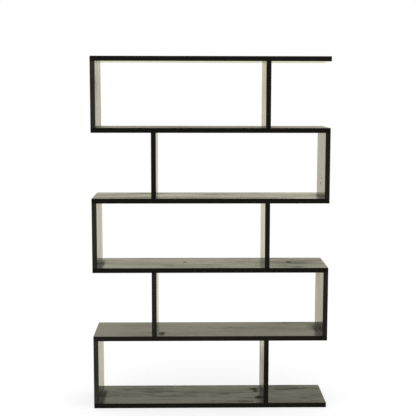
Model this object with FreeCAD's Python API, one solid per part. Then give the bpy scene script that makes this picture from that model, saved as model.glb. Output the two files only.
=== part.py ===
"""Zigzag bookcase: full-length boards on end panels and dividers, held by blind dowels.

Sizes are in millimetres and +Z is up. The origin is on the floor, in the middle of the footprint.
+X is to the right of someone facing the case, whose front faces -Y. Tier 1 is the top tier.
"""

import FreeCAD, Part
import os

# Overall sizes
WIDTH = 1200.0
DEPTH = 300.0
HEIGHT = 1800.0

# Boards and the panels between them
TIER_COUNT = 5
BOARD_THICKNESS = 25.0
END_PANEL_THICKNESS = 25.0
DIVIDER_THICKNESS = 25.0
OPEN_BAY_WIDTH = 300.0  # from a divider to the open end of its tier
EASED_RADIUS = 1.0  # on every edge that no joint closes

# Dowels
DOWEL_DIAMETER = 8.0
DOWEL_LENGTH = 40.0
DOWEL_CHAMFER = 1.0
DOWELS_PER_JOINT = 4
DOWEL_INSET = 54.0  # outermost dowel axes from the front and back edges
FLUTE_COUNT = 12
FLUTE_RADIUS = 0.6
FLUTE_DEPTH = 0.3

# Dowel holes
HOLE_CLEARANCE = 0.1  # all round a dowel
GLUE_SPACE = 1.0  # beyond each end of a dowel
BOARD_SKIN = 9.0  # wood left behind a hole in a board

# Sizes that follow from those above
TIER_PITCH = (HEIGHT - BOARD_THICKNESS) / TIER_COUNT
CLEAR_HEIGHT = TIER_PITCH - BOARD_THICKNESS
DOWEL_IN_BOARD = BOARD_THICKNESS - BOARD_SKIN - GLUE_SPACE
DOWEL_IN_PANEL = DOWEL_LENGTH - DOWEL_IN_BOARD
DOWEL_SPACING = (DEPTH - 2 * DOWEL_INSET) / (DOWELS_PER_JOINT - 1)

CENTRE = FreeCAD.Vector(0, 0, 0)
X_AXIS = FreeCAD.Vector(1, 0, 0)
Z_AXIS = FreeCAD.Vector(0, 0, 1)


def board_name(level):
    """Level 0 is the top board, and every other board is the floor of the tier with its number."""
    if level == 0:
        return "top_board"
    if level == TIER_COUNT:
        return "bottom_board"
    return f"shelf_board_{level}"


def board_underside(level):
    """Height of a board's lower face above the floor."""
    return (TIER_COUNT - level) * TIER_PITCH


def tier_panels(tier):
    """Name, thickness and middle X of the two panels that stand in a tier."""
    end_is_left = tier % 2 == 1
    closed_side = -1 if end_is_left else 1
    end_name = f"left_end_panel_{tier}" if end_is_left else f"right_end_panel_{tier}"
    end_x = closed_side * (WIDTH - END_PANEL_THICKNESS) / 2
    divider_x = -closed_side * (WIDTH / 2 - OPEN_BAY_WIDTH - DIVIDER_THICKNESS / 2)
    return [
        (end_name, END_PANEL_THICKNESS, end_x),
        (f"divider_{tier}", DIVIDER_THICKNESS, divider_x),
    ]


def make_board(level):
    """A full-length board with all its edges eased."""
    corner = FreeCAD.Vector(-WIDTH / 2, -DEPTH / 2, board_underside(level))
    board = Part.makeBox(WIDTH, DEPTH, BOARD_THICKNESS, corner)
    return board.makeFillet(EASED_RADIUS, board.Edges)


def make_panel(thickness, middle_x, foot_z):
    """An upright panel, eased along its upright edges and square at both ends."""
    corner = FreeCAD.Vector(middle_x - thickness / 2, -DEPTH / 2, foot_z)
    panel = Part.makeBox(thickness, DEPTH, CLEAR_HEIGHT, corner)
    upright_edges = [edge for edge in panel.Edges if edge.BoundBox.ZLength > CLEAR_HEIGHT / 2]
    return panel.makeFillet(EASED_RADIUS, upright_edges)


def make_dowel():
    """A fluted dowel along Z, with the joint at Z = 0 and the board's share above it."""
    radius = DOWEL_DIAMETER / 2
    foot = FreeCAD.Vector(0, 0, -DOWEL_IN_PANEL)
    rod = Part.makeCylinder(radius, DOWEL_LENGTH, foot)
    rims = [edge for edge in rod.Edges if edge.isClosed()]
    rod = rod.makeChamfer(DOWEL_CHAMFER, rims)
    flute_offset = FreeCAD.Vector(radius + FLUTE_RADIUS - FLUTE_DEPTH, 0, 0)
    flutes = []
    for number in range(FLUTE_COUNT):
        flute = Part.makeCylinder(FLUTE_RADIUS, DOWEL_LENGTH, foot + flute_offset)
        flute.rotate(CENTRE, Z_AXIS, 360 / FLUTE_COUNT * number)
        flutes.append(flute)
    return rod.cut(flutes)


def make_hole():
    """The space one dowel needs in both pieces of its joint, placed like the dowel."""
    foot = FreeCAD.Vector(0, 0, -DOWEL_IN_PANEL - GLUE_SPACE)
    return Part.makeCylinder(DOWEL_DIAMETER / 2 + HOLE_CLEARANCE, DOWEL_LENGTH + 2 * GLUE_SPACE, foot)


def row_in_joint(shape, middle_x, joint_z, board_is_above):
    """Copies of a dowel or hole at every dowel place of one joint."""
    copies = []
    for number in range(DOWELS_PER_JOINT):
        copy = shape.copy()
        if not board_is_above:
            copy.rotate(CENTRE, X_AXIS, 180)
        place_y = DOWEL_INSET - DEPTH / 2 + DOWEL_SPACING * number
        copy.translate(FreeCAD.Vector(middle_x, place_y, joint_z))
        copies.append(copy)
    return copies


def build():
    """Every node by name: the boards, the panels of each tier and the dowels of each joint."""
    nodes = {board_name(level): make_board(level) for level in range(TIER_COUNT + 1)}
    dowel = make_dowel()
    hole = make_hole()
    for tier in range(1, TIER_COUNT + 1):
        foot_z = board_underside(tier) + BOARD_THICKNESS
        joints = [
            ("upper", board_name(tier - 1), foot_z + CLEAR_HEIGHT, True),
            ("lower", board_name(tier), foot_z, False),
        ]
        for panel_name, thickness, middle_x in tier_panels(tier):
            nodes[panel_name] = make_panel(thickness, middle_x, foot_z)
            for end, board, joint_z, board_is_above in joints:
                holes = row_in_joint(hole, middle_x, joint_z, board_is_above)
                nodes[panel_name] = nodes[panel_name].cut(holes)
                nodes[board] = nodes[board].cut(holes)
                dowels = row_in_joint(dowel, middle_x, joint_z, board_is_above)
                nodes[f"{panel_name}_{end}_dowels"] = Part.makeCompound(dowels)
    return nodes


os.makedirs("parts", exist_ok=True)
for node_name, node_shape in build().items():
    node_shape.exportStep(f"parts/{node_name}.step")
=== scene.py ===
"""Looks of the zigzag bookcase: near-black stained wood under satin lacquer, in a white studio."""

import math
import random

import bmesh
import bpy
from mathutils import Euler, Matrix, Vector


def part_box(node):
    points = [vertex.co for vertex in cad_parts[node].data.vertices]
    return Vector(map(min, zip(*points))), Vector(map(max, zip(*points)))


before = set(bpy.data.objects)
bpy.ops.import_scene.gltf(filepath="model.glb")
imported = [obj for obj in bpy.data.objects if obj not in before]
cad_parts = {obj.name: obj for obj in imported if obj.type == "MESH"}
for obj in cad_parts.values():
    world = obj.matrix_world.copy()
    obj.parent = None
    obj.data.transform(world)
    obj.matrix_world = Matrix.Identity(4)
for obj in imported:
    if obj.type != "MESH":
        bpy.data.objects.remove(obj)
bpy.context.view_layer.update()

# Camera, in metres and degrees, with the lens and sensor in millimetres
CAMERA_PLACE = (-0.1018, -4.8210, 1.6189)
CAMERA_TURN = (82.969, -0.087, -1.068)
LENS = 80.81
SENSOR = 36.0

# Studio: colours, and levels of which 1 is white
WHITE = (1.0, 1.0, 1.0)
REFLECTED_WHITE = (1.0, 0.94, 0.745)  # of the studio in reflections
CAMERA_SIDE = 0.33  # in reflections, of the room on the camera's side
CAMERA_SIDE_SPAN = (-0.8, 0.0)  # of a ray's direction along Y, from the dimmest to white
AMBIENT = 0.95  # on matte surfaces

# Overhead softbox, in metres and watts
OVERHEAD_PLACE = (-0.3, -0.6, 4.6)
OVERHEAD_SIZE = 4.0
OVERHEAD_POWER = 30.0

# Floor, in metres, with the scale of its grit in 1/m
FLOOR_RADIUS = 2.2
FLOOR_SIDES = 96
FLOOR_COLOUR = (0.40, 0.40, 0.40)
FLOOR_LIFT = 0.65  # level that the camera sees besides the light on the floor
GRIT_SCALE = (60.0, 60.0, 60.0)
GRIT_DETAIL = 3.0
GRIT_SHADE = 0.98  # of the floor's colour in its darkest grit

# Stain: colours of closed, open and worn grain
CLOSED_STAIN = (0.0084, 0.0078, 0.0059)
OPEN_STAIN = (0.0004, 0.0004, 0.0003)
WORN_STAIN = (0.0320, 0.0290, 0.0210)
FACE_TONE = 3.0  # of the stain on broad faces and ends

# Lacquer
LACQUER_IOR = 1.34
DULL_ROUGHNESS = 0.9
PORE_DULLNESS = 0.1  # share of the dull roughness in a pore
KNOT_DULLNESS = (0.6, 1.0)  # strength of a mark from which the lacquer dulls, and at which it is dull
WEAR_ROUGHNESS = 0.15

# Growth of the wood, in metres, with scales in 1/m
STAVE_WIDTH = 0.1
OUTER_STAVE = 1.0  # number of the stave next to the middle one
STAVE_STEP = (3.7, 0.0, 1.3)  # from a stave's place in the log to the next one's
STAVES_APART = 10  # between the seeds of two panels
LOG_SEED = 100
LOG_SPAN = (90.0, 9.0, 9.0)  # in which the panels' places in the log lie
WANDER = (0.0, 0.045, 0.045)
WANDER_SCALE = (3.0, 9.0, 9.0)
WANDER_DETAIL = 2.0
PITH_SPREAD = (0.8, 0.10, 0.05)
PITH_START = (-0.4, -0.05, -0.09)
LOG_TAPER = (0.04, 1.0, 1.0)
RING_WIDTH = 0.004
LATEWOOD_POWER = 3.0
EARLYWOOD_SHARE = 0.6  # of a ring's width
LATEWOOD_PORES = 0.3  # share of the pores left in late wood
KNOT_PUSH = 0.02  # shift of the rings at a mark of strength 1
RIM_SCALE = (60.0, 140.0, 140.0)
RIM_DETAIL = 2.0
RIM_UNEVEN = 1.2
RIM_SPAN = (0.2, 1.8)  # in half sizes from a mark's centre: where it starts to fade and where it ends
GRAIN_DEPTH = 0.0001
WEAR_WIDTH = 0.003
WEAR = 0.3  # share of worn grain right at an edge

# Patterns in the wood: scale along and across the grain in 1/m, detail, and the span of noise that counts
PATTERNS = {
    "patches": (3.0, 8.0, 2.0, 0.40, 0.65),
    "streaks": (4.5, 45.0, 4.0, 0.40, 0.74),
    "flames": (14.0, 60.0, 3.0, 0.48, 0.72),
    "bands": (1.2, 10.0, 2.0, 0.30, 0.70),
    "fibres": (22.0, 900.0, 2.0, 0.30, 0.70),
    "pores": (60.0, 1300.0, 1.0, 0.56, 0.64),
    "scuffs": (30.0, 30.0, 4.0, 0.40, 0.65),
}
NOISE_ROUGHNESS = 0.55
NOISE_MIDDLE = 0.5

# Shares of the patterns in the figure, in how open the grain is, in its dark pigment and in its relief
FIGURE = {"streaks": 0.7, "flames": 0.4}
QUIET_FIGURE = 0.15  # left of the figure between its patches
OPENNESS = {"figure": 0.65, "bands": 0.4, "latewood": 0.2, "stave": 0.12}
PIGMENT = {"figure": 0.4, "bands": 0.3, "latewood": 0.35, "pores": 0.4, "fibres": 0.1, "stave": 0.2}
RELIEF = {"figure": -1.0, "latewood": 0.4, "pores": -0.4, "fibres": 0.1}
END_GRAIN = 0.45  # openness and pigment of end grain
END_RINGS = 0.4  # more of both in late wood
FACING_SPAN = (0.6, 0.9)  # of the normal's share along an axis, from not facing that way to facing it

# Finish and the painted light and shade of the edges, by kind, and by panel where it differs
FINISH_AND_PAINTED_LIGHT = {  # tone of the stain on front and back edges, painted shade below the faces' tone and painted light above it, roughness of closed grain and of open grain
    "board": (0.5, 0.020, 0.510),
    "left": (4.2, 0.060, 0.355),
    "right": (2.6, 0.055, 0.315),
    "divider": (0.7, 0.060, 0.270),
    "top_board": (0.7, 0.020, 0.190),
    "shelf_board_1": (0.4, 0.150, 0.480),
    "shelf_board_2": (0.5, 0.065, 0.510),
    "shelf_board_4": (1.3, 0.020, 0.510),
    "bottom_board": (0.7, 0.030, 0.700),
    "divider_1": (0.8, 0.080, 0.290),
    "divider_3": (1.0, 0.045, 0.210),
    "divider_4": (3.2, 0.060, 0.290),
    "divider_5": (0.8, 0.150, 0.500),
    "left_end_panel_3": (5.0, 0.010, 0.230),
    "left_end_panel_5": (7.0, 0.045, 0.285),
    "right_end_panel_2": (2.0, 0.010, 0.080),
}

# Knots and streaks, and painted sheen and shade: broad places darker and duller or lighter and glossier, by
# panel
MARKS_AND_PAINTED_LIGHT = {  # along, across, half length and half width in metres, and strength: 1 is dark and -1 glossy
    # Painted sheen and shade: glossier towards the front, duller towards the back, glossier at the upper end
    "left_end_panel_1": [
        (0.000, -0.120, 0.300, 0.080, -0.12),
        (0.000, 0.100, 0.300, 0.080, 0.08),
        (0.160, 0.000, 0.070, 0.300, -0.25),
        (0.080, 0.000, 0.070, 0.300, 0.12),
    ],
    # Painted shade: darker and duller towards the lower end
    "left_end_panel_3": [(-0.140, 0.000, 0.070, 0.300, 0.16)],
    # Painted highlight: lighter and glossier upper ends of the dividers
    "divider_1": [(0.160, 0.000, 0.070, 0.300, -0.20)],
    "divider_3": [(0.160, 0.000, 0.080, 0.300, -0.20)],
    "divider_5": [(0.160, 0.000, 0.070, 0.300, -0.30)],
    # On the boards, marks as wide as the board are painted sheen and shade; the smaller ones are knots and
    # streaks
    "shelf_board_1": [(-0.300, 0.000, 0.450, 0.300, 0.30)],
    "shelf_board_2": [
        (-0.370, 0.105, 0.050, 0.006, 0.80),
        (-0.450, 0.000, 0.150, 0.300, 0.08),
        (0.150, 0.000, 0.300, 0.300, 0.12),
        (0.330, 0.000, 0.200, 0.300, -0.15),
        (0.563, -0.070, 0.014, 0.120, 0.44),  # painted shade: darker and duller at the foot of an end panel
    ],
    "shelf_board_3": [
        (-0.131, 0.023, 0.009, 0.012, 0.80),
        (0.414, 0.018, 0.012, 0.014, 1.00),
        (0.450, 0.000, 0.150, 0.150, 0.25),
        (-0.563, -0.070, 0.014, 0.120, 0.58),  # painted shade: darker and duller at the foot of an end panel
    ],
    "shelf_board_4": [
        (-0.250, -0.095, 0.013, 0.030, 0.80),
        (0.550, 0.050, 0.025, 0.060, 0.30),
        (-0.600, 0.000, 0.150, 0.300, -0.25),
        (-0.150, 0.000, 0.150, 0.300, -0.10),
        (0.350, 0.000, 0.200, 0.300, 0.10),
        (0.563, -0.070, 0.014, 0.120, 0.43),  # painted shade: darker and duller at the foot of an end panel
    ],
    "bottom_board": [
        (0.240, 0.082, 0.020, 0.014, 0.90),
        (0.246, 0.045, 0.012, 0.014, 0.70),
        (0.258, -0.055, 0.018, 0.024, 0.70),
        (-0.363, 0.088, 0.150, 0.009, 0.50),
        (0.180, -0.120, 0.040, 0.014, 0.40),
        (-0.563, -0.070, 0.014, 0.120, 0.48),  # painted shade: darker and duller at the foot of an end panel
        (0.480, 0.000, 0.150, 0.300, 0.12),
    ],
    "right_end_panel_2": [
        (-0.101, 0.003, 0.007, 0.016, 1.00),
        (-0.072, -0.020, 0.005, 0.012, 1.00),
    ],
}

# Bare beech of the dowels, with the scale of its fibres in 1/m
DARK_BEECH = (0.42, 0.27, 0.14)
PALE_BEECH = (0.66, 0.48, 0.29)
BEECH_FIBRES = (700.0, 700.0, 40.0)
BEECH_DETAIL = 3.0
BEECH_DEPTH = 0.0001  # metres
BEECH_RELIEF = 0.6
BEECH_ROUGHNESS = 0.7


class Nodes:
    """A node tree with one short call for each node. Sockets of the same name go by number."""

    def __init__(self, tree):
        self.tree = tree
        tree.nodes.clear()

    def add(self, kind, inputs, **settings):
        node = self.tree.nodes.new(kind)
        for name, value in settings.items():
            setattr(node, name, value)
        for socket, value in inputs.items():
            if isinstance(value, bpy.types.NodeSocket):
                self.tree.links.new(value, node.inputs[socket])
            else:
                node.inputs[socket].default_value = value
        return node

    def math(self, operation, *values):
        return self.add("ShaderNodeMath", dict(enumerate(values)), operation=operation).outputs[0]

    def vector(self, operation, *values):
        node = self.add("ShaderNodeVectorMath", dict(enumerate(values)), operation=operation)
        return node.outputs["Value" if operation == "LENGTH" else "Vector"]

    def split(self, vector):
        return self.add("ShaderNodeSeparateXYZ", {"Vector": vector}).outputs

    def noise(self, position, stretch, detail, output="Fac"):
        scaled = self.vector("MULTIPLY", position, stretch)
        inputs = {"Vector": scaled, "Scale": 1.0, "Detail": detail, "Roughness": NOISE_ROUGHNESS}
        return self.add("ShaderNodeTexNoise", inputs).outputs[output]

    def ramp(self, value, from_low, from_high, to_low, to_high):
        inputs = {"Value": value, "From Min": from_low, "From Max": from_high}
        inputs.update({"To Min": to_low, "To Max": to_high})
        return self.add("ShaderNodeMapRange", inputs, interpolation_type="SMOOTHSTEP").outputs[0]

    def blend(self, factor, first, second):
        return self.add("ShaderNodeMix", {0: factor, 2: first, 3: second}).outputs[0]

    def mix_colour(self, factor, first, second):
        return self.add("ShaderNodeMix", {0: factor, 6: first, 7: second}, data_type="RGBA").outputs[2]

    def weighted_sum(self, shares, values):
        total = 0.0
        for name, share in shares.items():
            total = self.math("MULTIPLY_ADD", values[name], share, total)
        return total


def new_material(name):
    material = bpy.data.materials.new(name)
    material.use_nodes = True
    return material, Nodes(material.node_tree)


def surface(nodes, shader):
    nodes.add("ShaderNodeOutputMaterial", {"Surface": shader.outputs[0]})


def opaque(colour, level=1.0):
    return (*[level * part for part in colour], 1.0)


def panel_position(nodes, centre, upright):
    """Place on a panel from its centre: X along the grain, Y from front to back, Z through the thickness."""
    turn = Euler((0, math.radians(90), 0)) if upright else Euler((0, 0, 0))
    coordinates = nodes.add("ShaderNodeTexCoord", {}).outputs["Object"]
    shift = -(turn.to_matrix() @ centre)
    inputs = {"Vector": coordinates, "Location": shift, "Rotation": turn}
    return nodes.add("ShaderNodeMapping", inputs).outputs[0]


def stave_position(nodes, position):
    """Place from the middle of a stave, and the stave's number, for three staves glued edge to edge."""
    stave = nodes.math("ROUND", nodes.math("DIVIDE", nodes.split(position)["Y"], STAVE_WIDTH))
    stave = nodes.math("MAXIMUM", nodes.math("MINIMUM", stave, OUTER_STAVE), -OUTER_STAVE)
    return nodes.vector("MULTIPLY_ADD", stave, (0, -STAVE_WIDTH, 0), position), stave


def stave_chance(nodes, stave, number):
    """Three chance values from 0 to 1 for each stave of a panel."""
    seed = nodes.math("ADD", stave, STAVES_APART * number)
    return nodes.add("ShaderNodeTexWhiteNoise", {"W": seed}, noise_dimensions="1D").outputs["Color"]


def log_position(nodes, in_stave, stave, number):
    """Place in the log a stave was cut from, far from that of every other stave."""
    chance = random.Random(LOG_SEED + number)
    log_place = Vector([chance.uniform(0, span) for span in LOG_SPAN])
    return nodes.vector("ADD", nodes.vector("MULTIPLY_ADD", stave, STAVE_STEP, in_stave), log_place)


def wandering(nodes, in_log):
    """How far the grain wanders sideways."""
    noise = nodes.noise(in_log, WANDER_SCALE, WANDER_DETAIL, "Color")
    return nodes.vector("MULTIPLY", nodes.vector("SUBTRACT", noise, (NOISE_MIDDLE,) * 3), WANDER)


def growth_rings(nodes, in_stave, chance, marks):
    """Late wood of the growth rings, from 0 to 1, and its share of the pores. The rings part round knots."""
    pith = nodes.vector("MULTIPLY_ADD", chance, PITH_SPREAD, PITH_START)
    from_pith = nodes.vector("MULTIPLY", nodes.vector("SUBTRACT", in_stave, pith), LOG_TAPER)
    radius = nodes.math("MULTIPLY_ADD", marks, KNOT_PUSH, nodes.vector("LENGTH", from_pith))
    phase = nodes.math("FRACT", nodes.math("DIVIDE", radius, RING_WIDTH))
    latewood = nodes.math("POWER", phase, LATEWOOD_POWER)
    return latewood, nodes.ramp(phase, 0.0, EARLYWOOD_SHARE, 1.0, LATEWOOD_PORES)


def marks_on_panel(nodes, position, in_log, marks):
    """Sum of the strengths of the panel's marks at a place: knots and streaks, and painted sheen and shade.
    Each fades out over an uneven rim.
    """
    rim = nodes.math("SUBTRACT", nodes.noise(in_log, RIM_SCALE, RIM_DETAIL), NOISE_MIDDLE)
    uneven = nodes.math("MULTIPLY", rim, RIM_UNEVEN)
    total = 0.0
    for along, across, half_length, half_width, strength in marks:
        offset = nodes.vector("SUBTRACT", position, (along, across, 0))
        offset = nodes.vector("MULTIPLY", offset, (1 / half_length, 1 / half_width, 0))
        distance = nodes.math("ADD", nodes.vector("LENGTH", offset), uneven)
        total = nodes.math("ADD", total, nodes.ramp(distance, *RIM_SPAN, strength, 0.0))
    return total


def wood_patterns(nodes, grain):
    """The wood's patterns by name, from 0 to 1. Its figure is streaks and flames that come and go."""
    patterns = {}
    for name, (along, across, detail, low, high) in PATTERNS.items():
        noise = nodes.noise(grain, (along, across, across), detail)
        patterns[name] = nodes.ramp(noise, low, high, 0.0, 1.0)
    figure = nodes.weighted_sum(FIGURE, patterns)
    patterns["figure"] = nodes.math("MULTIPLY", figure, nodes.blend(patterns["patches"], QUIET_FIGURE, 1.0))
    return patterns


def panel_patterns(nodes, name, number, position):
    """All patterns of one panel by name: those of its wood, rings, staves and marks."""
    in_stave, stave = stave_position(nodes, position)
    in_log = log_position(nodes, in_stave, stave, number)
    wander = wandering(nodes, in_log)
    chance = stave_chance(nodes, stave, number)
    patterns = wood_patterns(nodes, nodes.vector("ADD", in_log, wander))
    patterns["marks"] = marks_on_panel(nodes, position, in_log, MARKS_AND_PAINTED_LIGHT.get(name, []))
    ring_place = nodes.vector("ADD", in_stave, wander)
    patterns["latewood"], pore_share = growth_rings(nodes, ring_place, chance, patterns["marks"])
    patterns["pores"] = nodes.math("MULTIPLY", patterns["pores"], pore_share)
    patterns["stave"] = nodes.split(chance)["X"]
    return patterns


def facing(nodes, axis):
    """How far a surface faces either way along an axis, from 0 to 1."""
    normal = nodes.add("ShaderNodeNewGeometry", {}).outputs["Normal"]
    share = nodes.split(nodes.vector("ABSOLUTE", normal))[axis]
    return nodes.ramp(share, *FACING_SPAN, 0.0, 1.0)


def with_ends_and_marks(nodes, along_grain, patterns, at_end):
    """A value of the grain with that of the end grain and marks, up to 1."""
    end_grain = nodes.math("MULTIPLY_ADD", patterns["latewood"], END_RINGS, END_GRAIN)
    value = nodes.blend(at_end, along_grain, end_grain)
    return nodes.math("MINIMUM", nodes.math("ADD", value, patterns["marks"]), 1.0)


def edge_distance(nodes, position, half, upright):
    """Distance from a panel's nearest eased edge. The ends of an upright panel have none."""
    if upright:
        half = Vector((half.z, half.y, half.x))
    gap = nodes.split(nodes.vector("SUBTRACT", half, nodes.vector("ABSOLUTE", position)))
    nearer = nodes.math("MINIMUM", gap["Y"], gap["Z"])
    farther = nodes.math("MAXIMUM", gap["Y"], gap["Z"])
    if upright:
        return farther
    return nodes.math("MAXIMUM", nearer, nodes.math("MINIMUM", farther, gap["X"]))


def lacquer_roughness(nodes, closed, opened, openness, patterns, wear):
    """Roughness of the lacquer, which is dull in open grain, pores and knots and at worn edges."""
    roughness = nodes.blend(openness, closed, opened)
    dull_pores = nodes.math("MULTIPLY", patterns["pores"], PORE_DULLNESS)
    dull_knots = nodes.ramp(patterns["marks"], *KNOT_DULLNESS, 0.0, 1.0)
    roughness = nodes.blend(nodes.math("MAXIMUM", dull_knots, dull_pores), roughness, DULL_ROUGHNESS)
    return nodes.math("MULTIPLY_ADD", wear, WEAR_ROUGHNESS, roughness)


def stained_wood(name, low, high, number):
    """Dark stained solid wood, glued from staves whose grain runs along the panel's length."""
    upright = "board" not in name
    kind = name.split("_")[0] if upright else "board"
    painted_edge_tone, closed, opened = FINISH_AND_PAINTED_LIGHT.get(name, FINISH_AND_PAINTED_LIGHT[kind])
    material, nodes = new_material(name + "_wood")
    position = panel_position(nodes, (low + high) / 2, upright)
    patterns = panel_patterns(nodes, name, number, position)
    at_end = facing(nodes, "Z" if upright else "X")
    openness = with_ends_and_marks(nodes, nodes.weighted_sum(OPENNESS, patterns), patterns, at_end)
    pigment = with_ends_and_marks(nodes, nodes.weighted_sum(PIGMENT, patterns), patterns, at_end)
    edge = edge_distance(nodes, position, (high - low) / 2, upright)
    wear = nodes.math("MULTIPLY", nodes.ramp(edge, 0.0, WEAR_WIDTH, WEAR, 0.0), patterns["scuffs"])
    stain = nodes.mix_colour(pigment, opaque(CLOSED_STAIN), opaque(OPEN_STAIN))
    # Front and back edges take a tone of their own: painted shade where it is below the faces' tone, painted
    # light where it is above
    tone_with_painted_edges = nodes.blend(facing(nodes, "Y"), FACE_TONE, painted_edge_tone)
    colour = nodes.mix_colour(wear, nodes.vector("MULTIPLY", stain, tone_with_painted_edges), opaque(WORN_STAIN))
    roughness = lacquer_roughness(nodes, closed, opened, openness, patterns, wear)
    relief = nodes.weighted_sum(RELIEF, patterns)
    bump = nodes.add("ShaderNodeBump", {"Height": relief, "Distance": GRAIN_DEPTH, "Strength": 1.0})
    inputs = {"Base Color": colour, "Roughness": roughness, "IOR": LACQUER_IOR, "Normal": bump.outputs[0]}
    surface(nodes, nodes.add("ShaderNodeBsdfPrincipled", inputs))
    return material


def beech():
    """Bare pale beech of the dowels, with fine lengthwise grain."""
    material, nodes = new_material("beech_dowel")
    position = nodes.add("ShaderNodeTexCoord", {}).outputs["Object"]
    fibre = nodes.noise(position, BEECH_FIBRES, BEECH_DETAIL)
    colour = nodes.mix_colour(fibre, opaque(DARK_BEECH), opaque(PALE_BEECH))
    bump = nodes.add("ShaderNodeBump", {"Height": fibre, "Distance": BEECH_DEPTH, "Strength": BEECH_RELIEF})
    inputs = {"Base Color": colour, "Roughness": BEECH_ROUGHNESS, "Normal": bump.outputs[0]}
    surface(nodes, nodes.add("ShaderNodeBsdfPrincipled", inputs))
    return material


def dress_nodes():
    dowel_material = beech()
    for number, name in enumerate(sorted(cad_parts)):
        is_dowels = name.endswith("dowels")
        material = dowel_material if is_dowels else stained_wood(name, *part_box(name), number)
        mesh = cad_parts[name].data
        mesh.materials.clear()
        mesh.materials.append(material)


def studio_world():
    """White to the camera and in reflections, which see it warmer and dimmer on the camera's side."""
    world = bpy.data.worlds.new("studio")
    bpy.context.scene.world = world
    world.use_nodes = True
    nodes = Nodes(world.node_tree)
    path = nodes.add("ShaderNodeLightPath", {}).outputs
    mirrored = nodes.math("MAXIMUM", path["Is Glossy Ray"], path["Is Transmission Ray"])
    way = nodes.split(nodes.add("ShaderNodeTexCoord", {}).outputs["Generated"])
    reflected = nodes.ramp(way["Y"], *CAMERA_SIDE_SPAN, CAMERA_SIDE, 1.0)
    level = nodes.blend(path["Is Camera Ray"], nodes.blend(mirrored, AMBIENT, reflected), 1.0)
    colour = nodes.mix_colour(mirrored, opaque(WHITE), opaque(REFLECTED_WHITE))
    background = nodes.add("ShaderNodeBackground", {"Color": colour, "Strength": level})
    nodes.add("ShaderNodeOutputWorld", {"Surface": background.outputs[0]})


def floor_material():
    """Pale and matte, and white to the camera where it is lit."""
    material, nodes = new_material("floor")
    position = nodes.add("ShaderNodeTexCoord", {}).outputs["Object"]
    grit = nodes.noise(position, GRIT_SCALE, GRIT_DETAIL)
    pale = nodes.mix_colour(grit, opaque(FLOOR_COLOUR, GRIT_SHADE), opaque(FLOOR_COLOUR))
    path = nodes.add("ShaderNodeLightPath", {}).outputs
    lift = nodes.math("MULTIPLY", path["Is Camera Ray"], FLOOR_LIFT)
    glow = nodes.add("ShaderNodeEmission", {"Color": opaque(WHITE), "Strength": lift})
    matte = nodes.add("ShaderNodeBsdfDiffuse", {"Color": pale})
    surface(nodes, nodes.add("ShaderNodeAddShader", {0: matte.outputs[0], 1: glow.outputs[0]}))
    return material


def floor():
    """A round floor that takes the shadow. Metal and glass would show the white studio in its place."""
    mesh = bpy.data.meshes.new("floor")
    shape = bmesh.new()
    bmesh.ops.create_circle(shape, cap_ends=True, segments=FLOOR_SIDES, radius=FLOOR_RADIUS)
    shape.to_mesh(mesh)
    shape.free()
    mesh.materials.append(floor_material())
    plane = bpy.data.objects.new("floor", mesh)
    plane.visible_glossy = False
    plane.visible_transmission = False
    bpy.context.scene.collection.objects.link(plane)


def overhead_softbox():
    data = bpy.data.lights.new("overhead", "AREA")
    data.shape = "SQUARE"
    data.size = OVERHEAD_SIZE
    data.energy = OVERHEAD_POWER
    lamp = bpy.data.objects.new("overhead", data)
    lamp.location = OVERHEAD_PLACE
    lamp.rotation_euler = (-Vector(OVERHEAD_PLACE)).to_track_quat("-Z", "Y").to_euler()
    bpy.context.scene.collection.objects.link(lamp)


def camera():
    data = bpy.data.cameras.new("camera")
    data.lens = LENS
    data.sensor_width = SENSOR
    view = bpy.data.objects.new("camera", data)
    view.location = CAMERA_PLACE
    view.rotation_euler = [math.radians(angle) for angle in CAMERA_TURN]
    bpy.context.scene.collection.objects.link(view)
    bpy.context.scene.camera = view


dress_nodes()
studio_world()
floor()
overhead_softbox()
camera()
bpy.context.scene.view_settings.view_transform = "Standard"
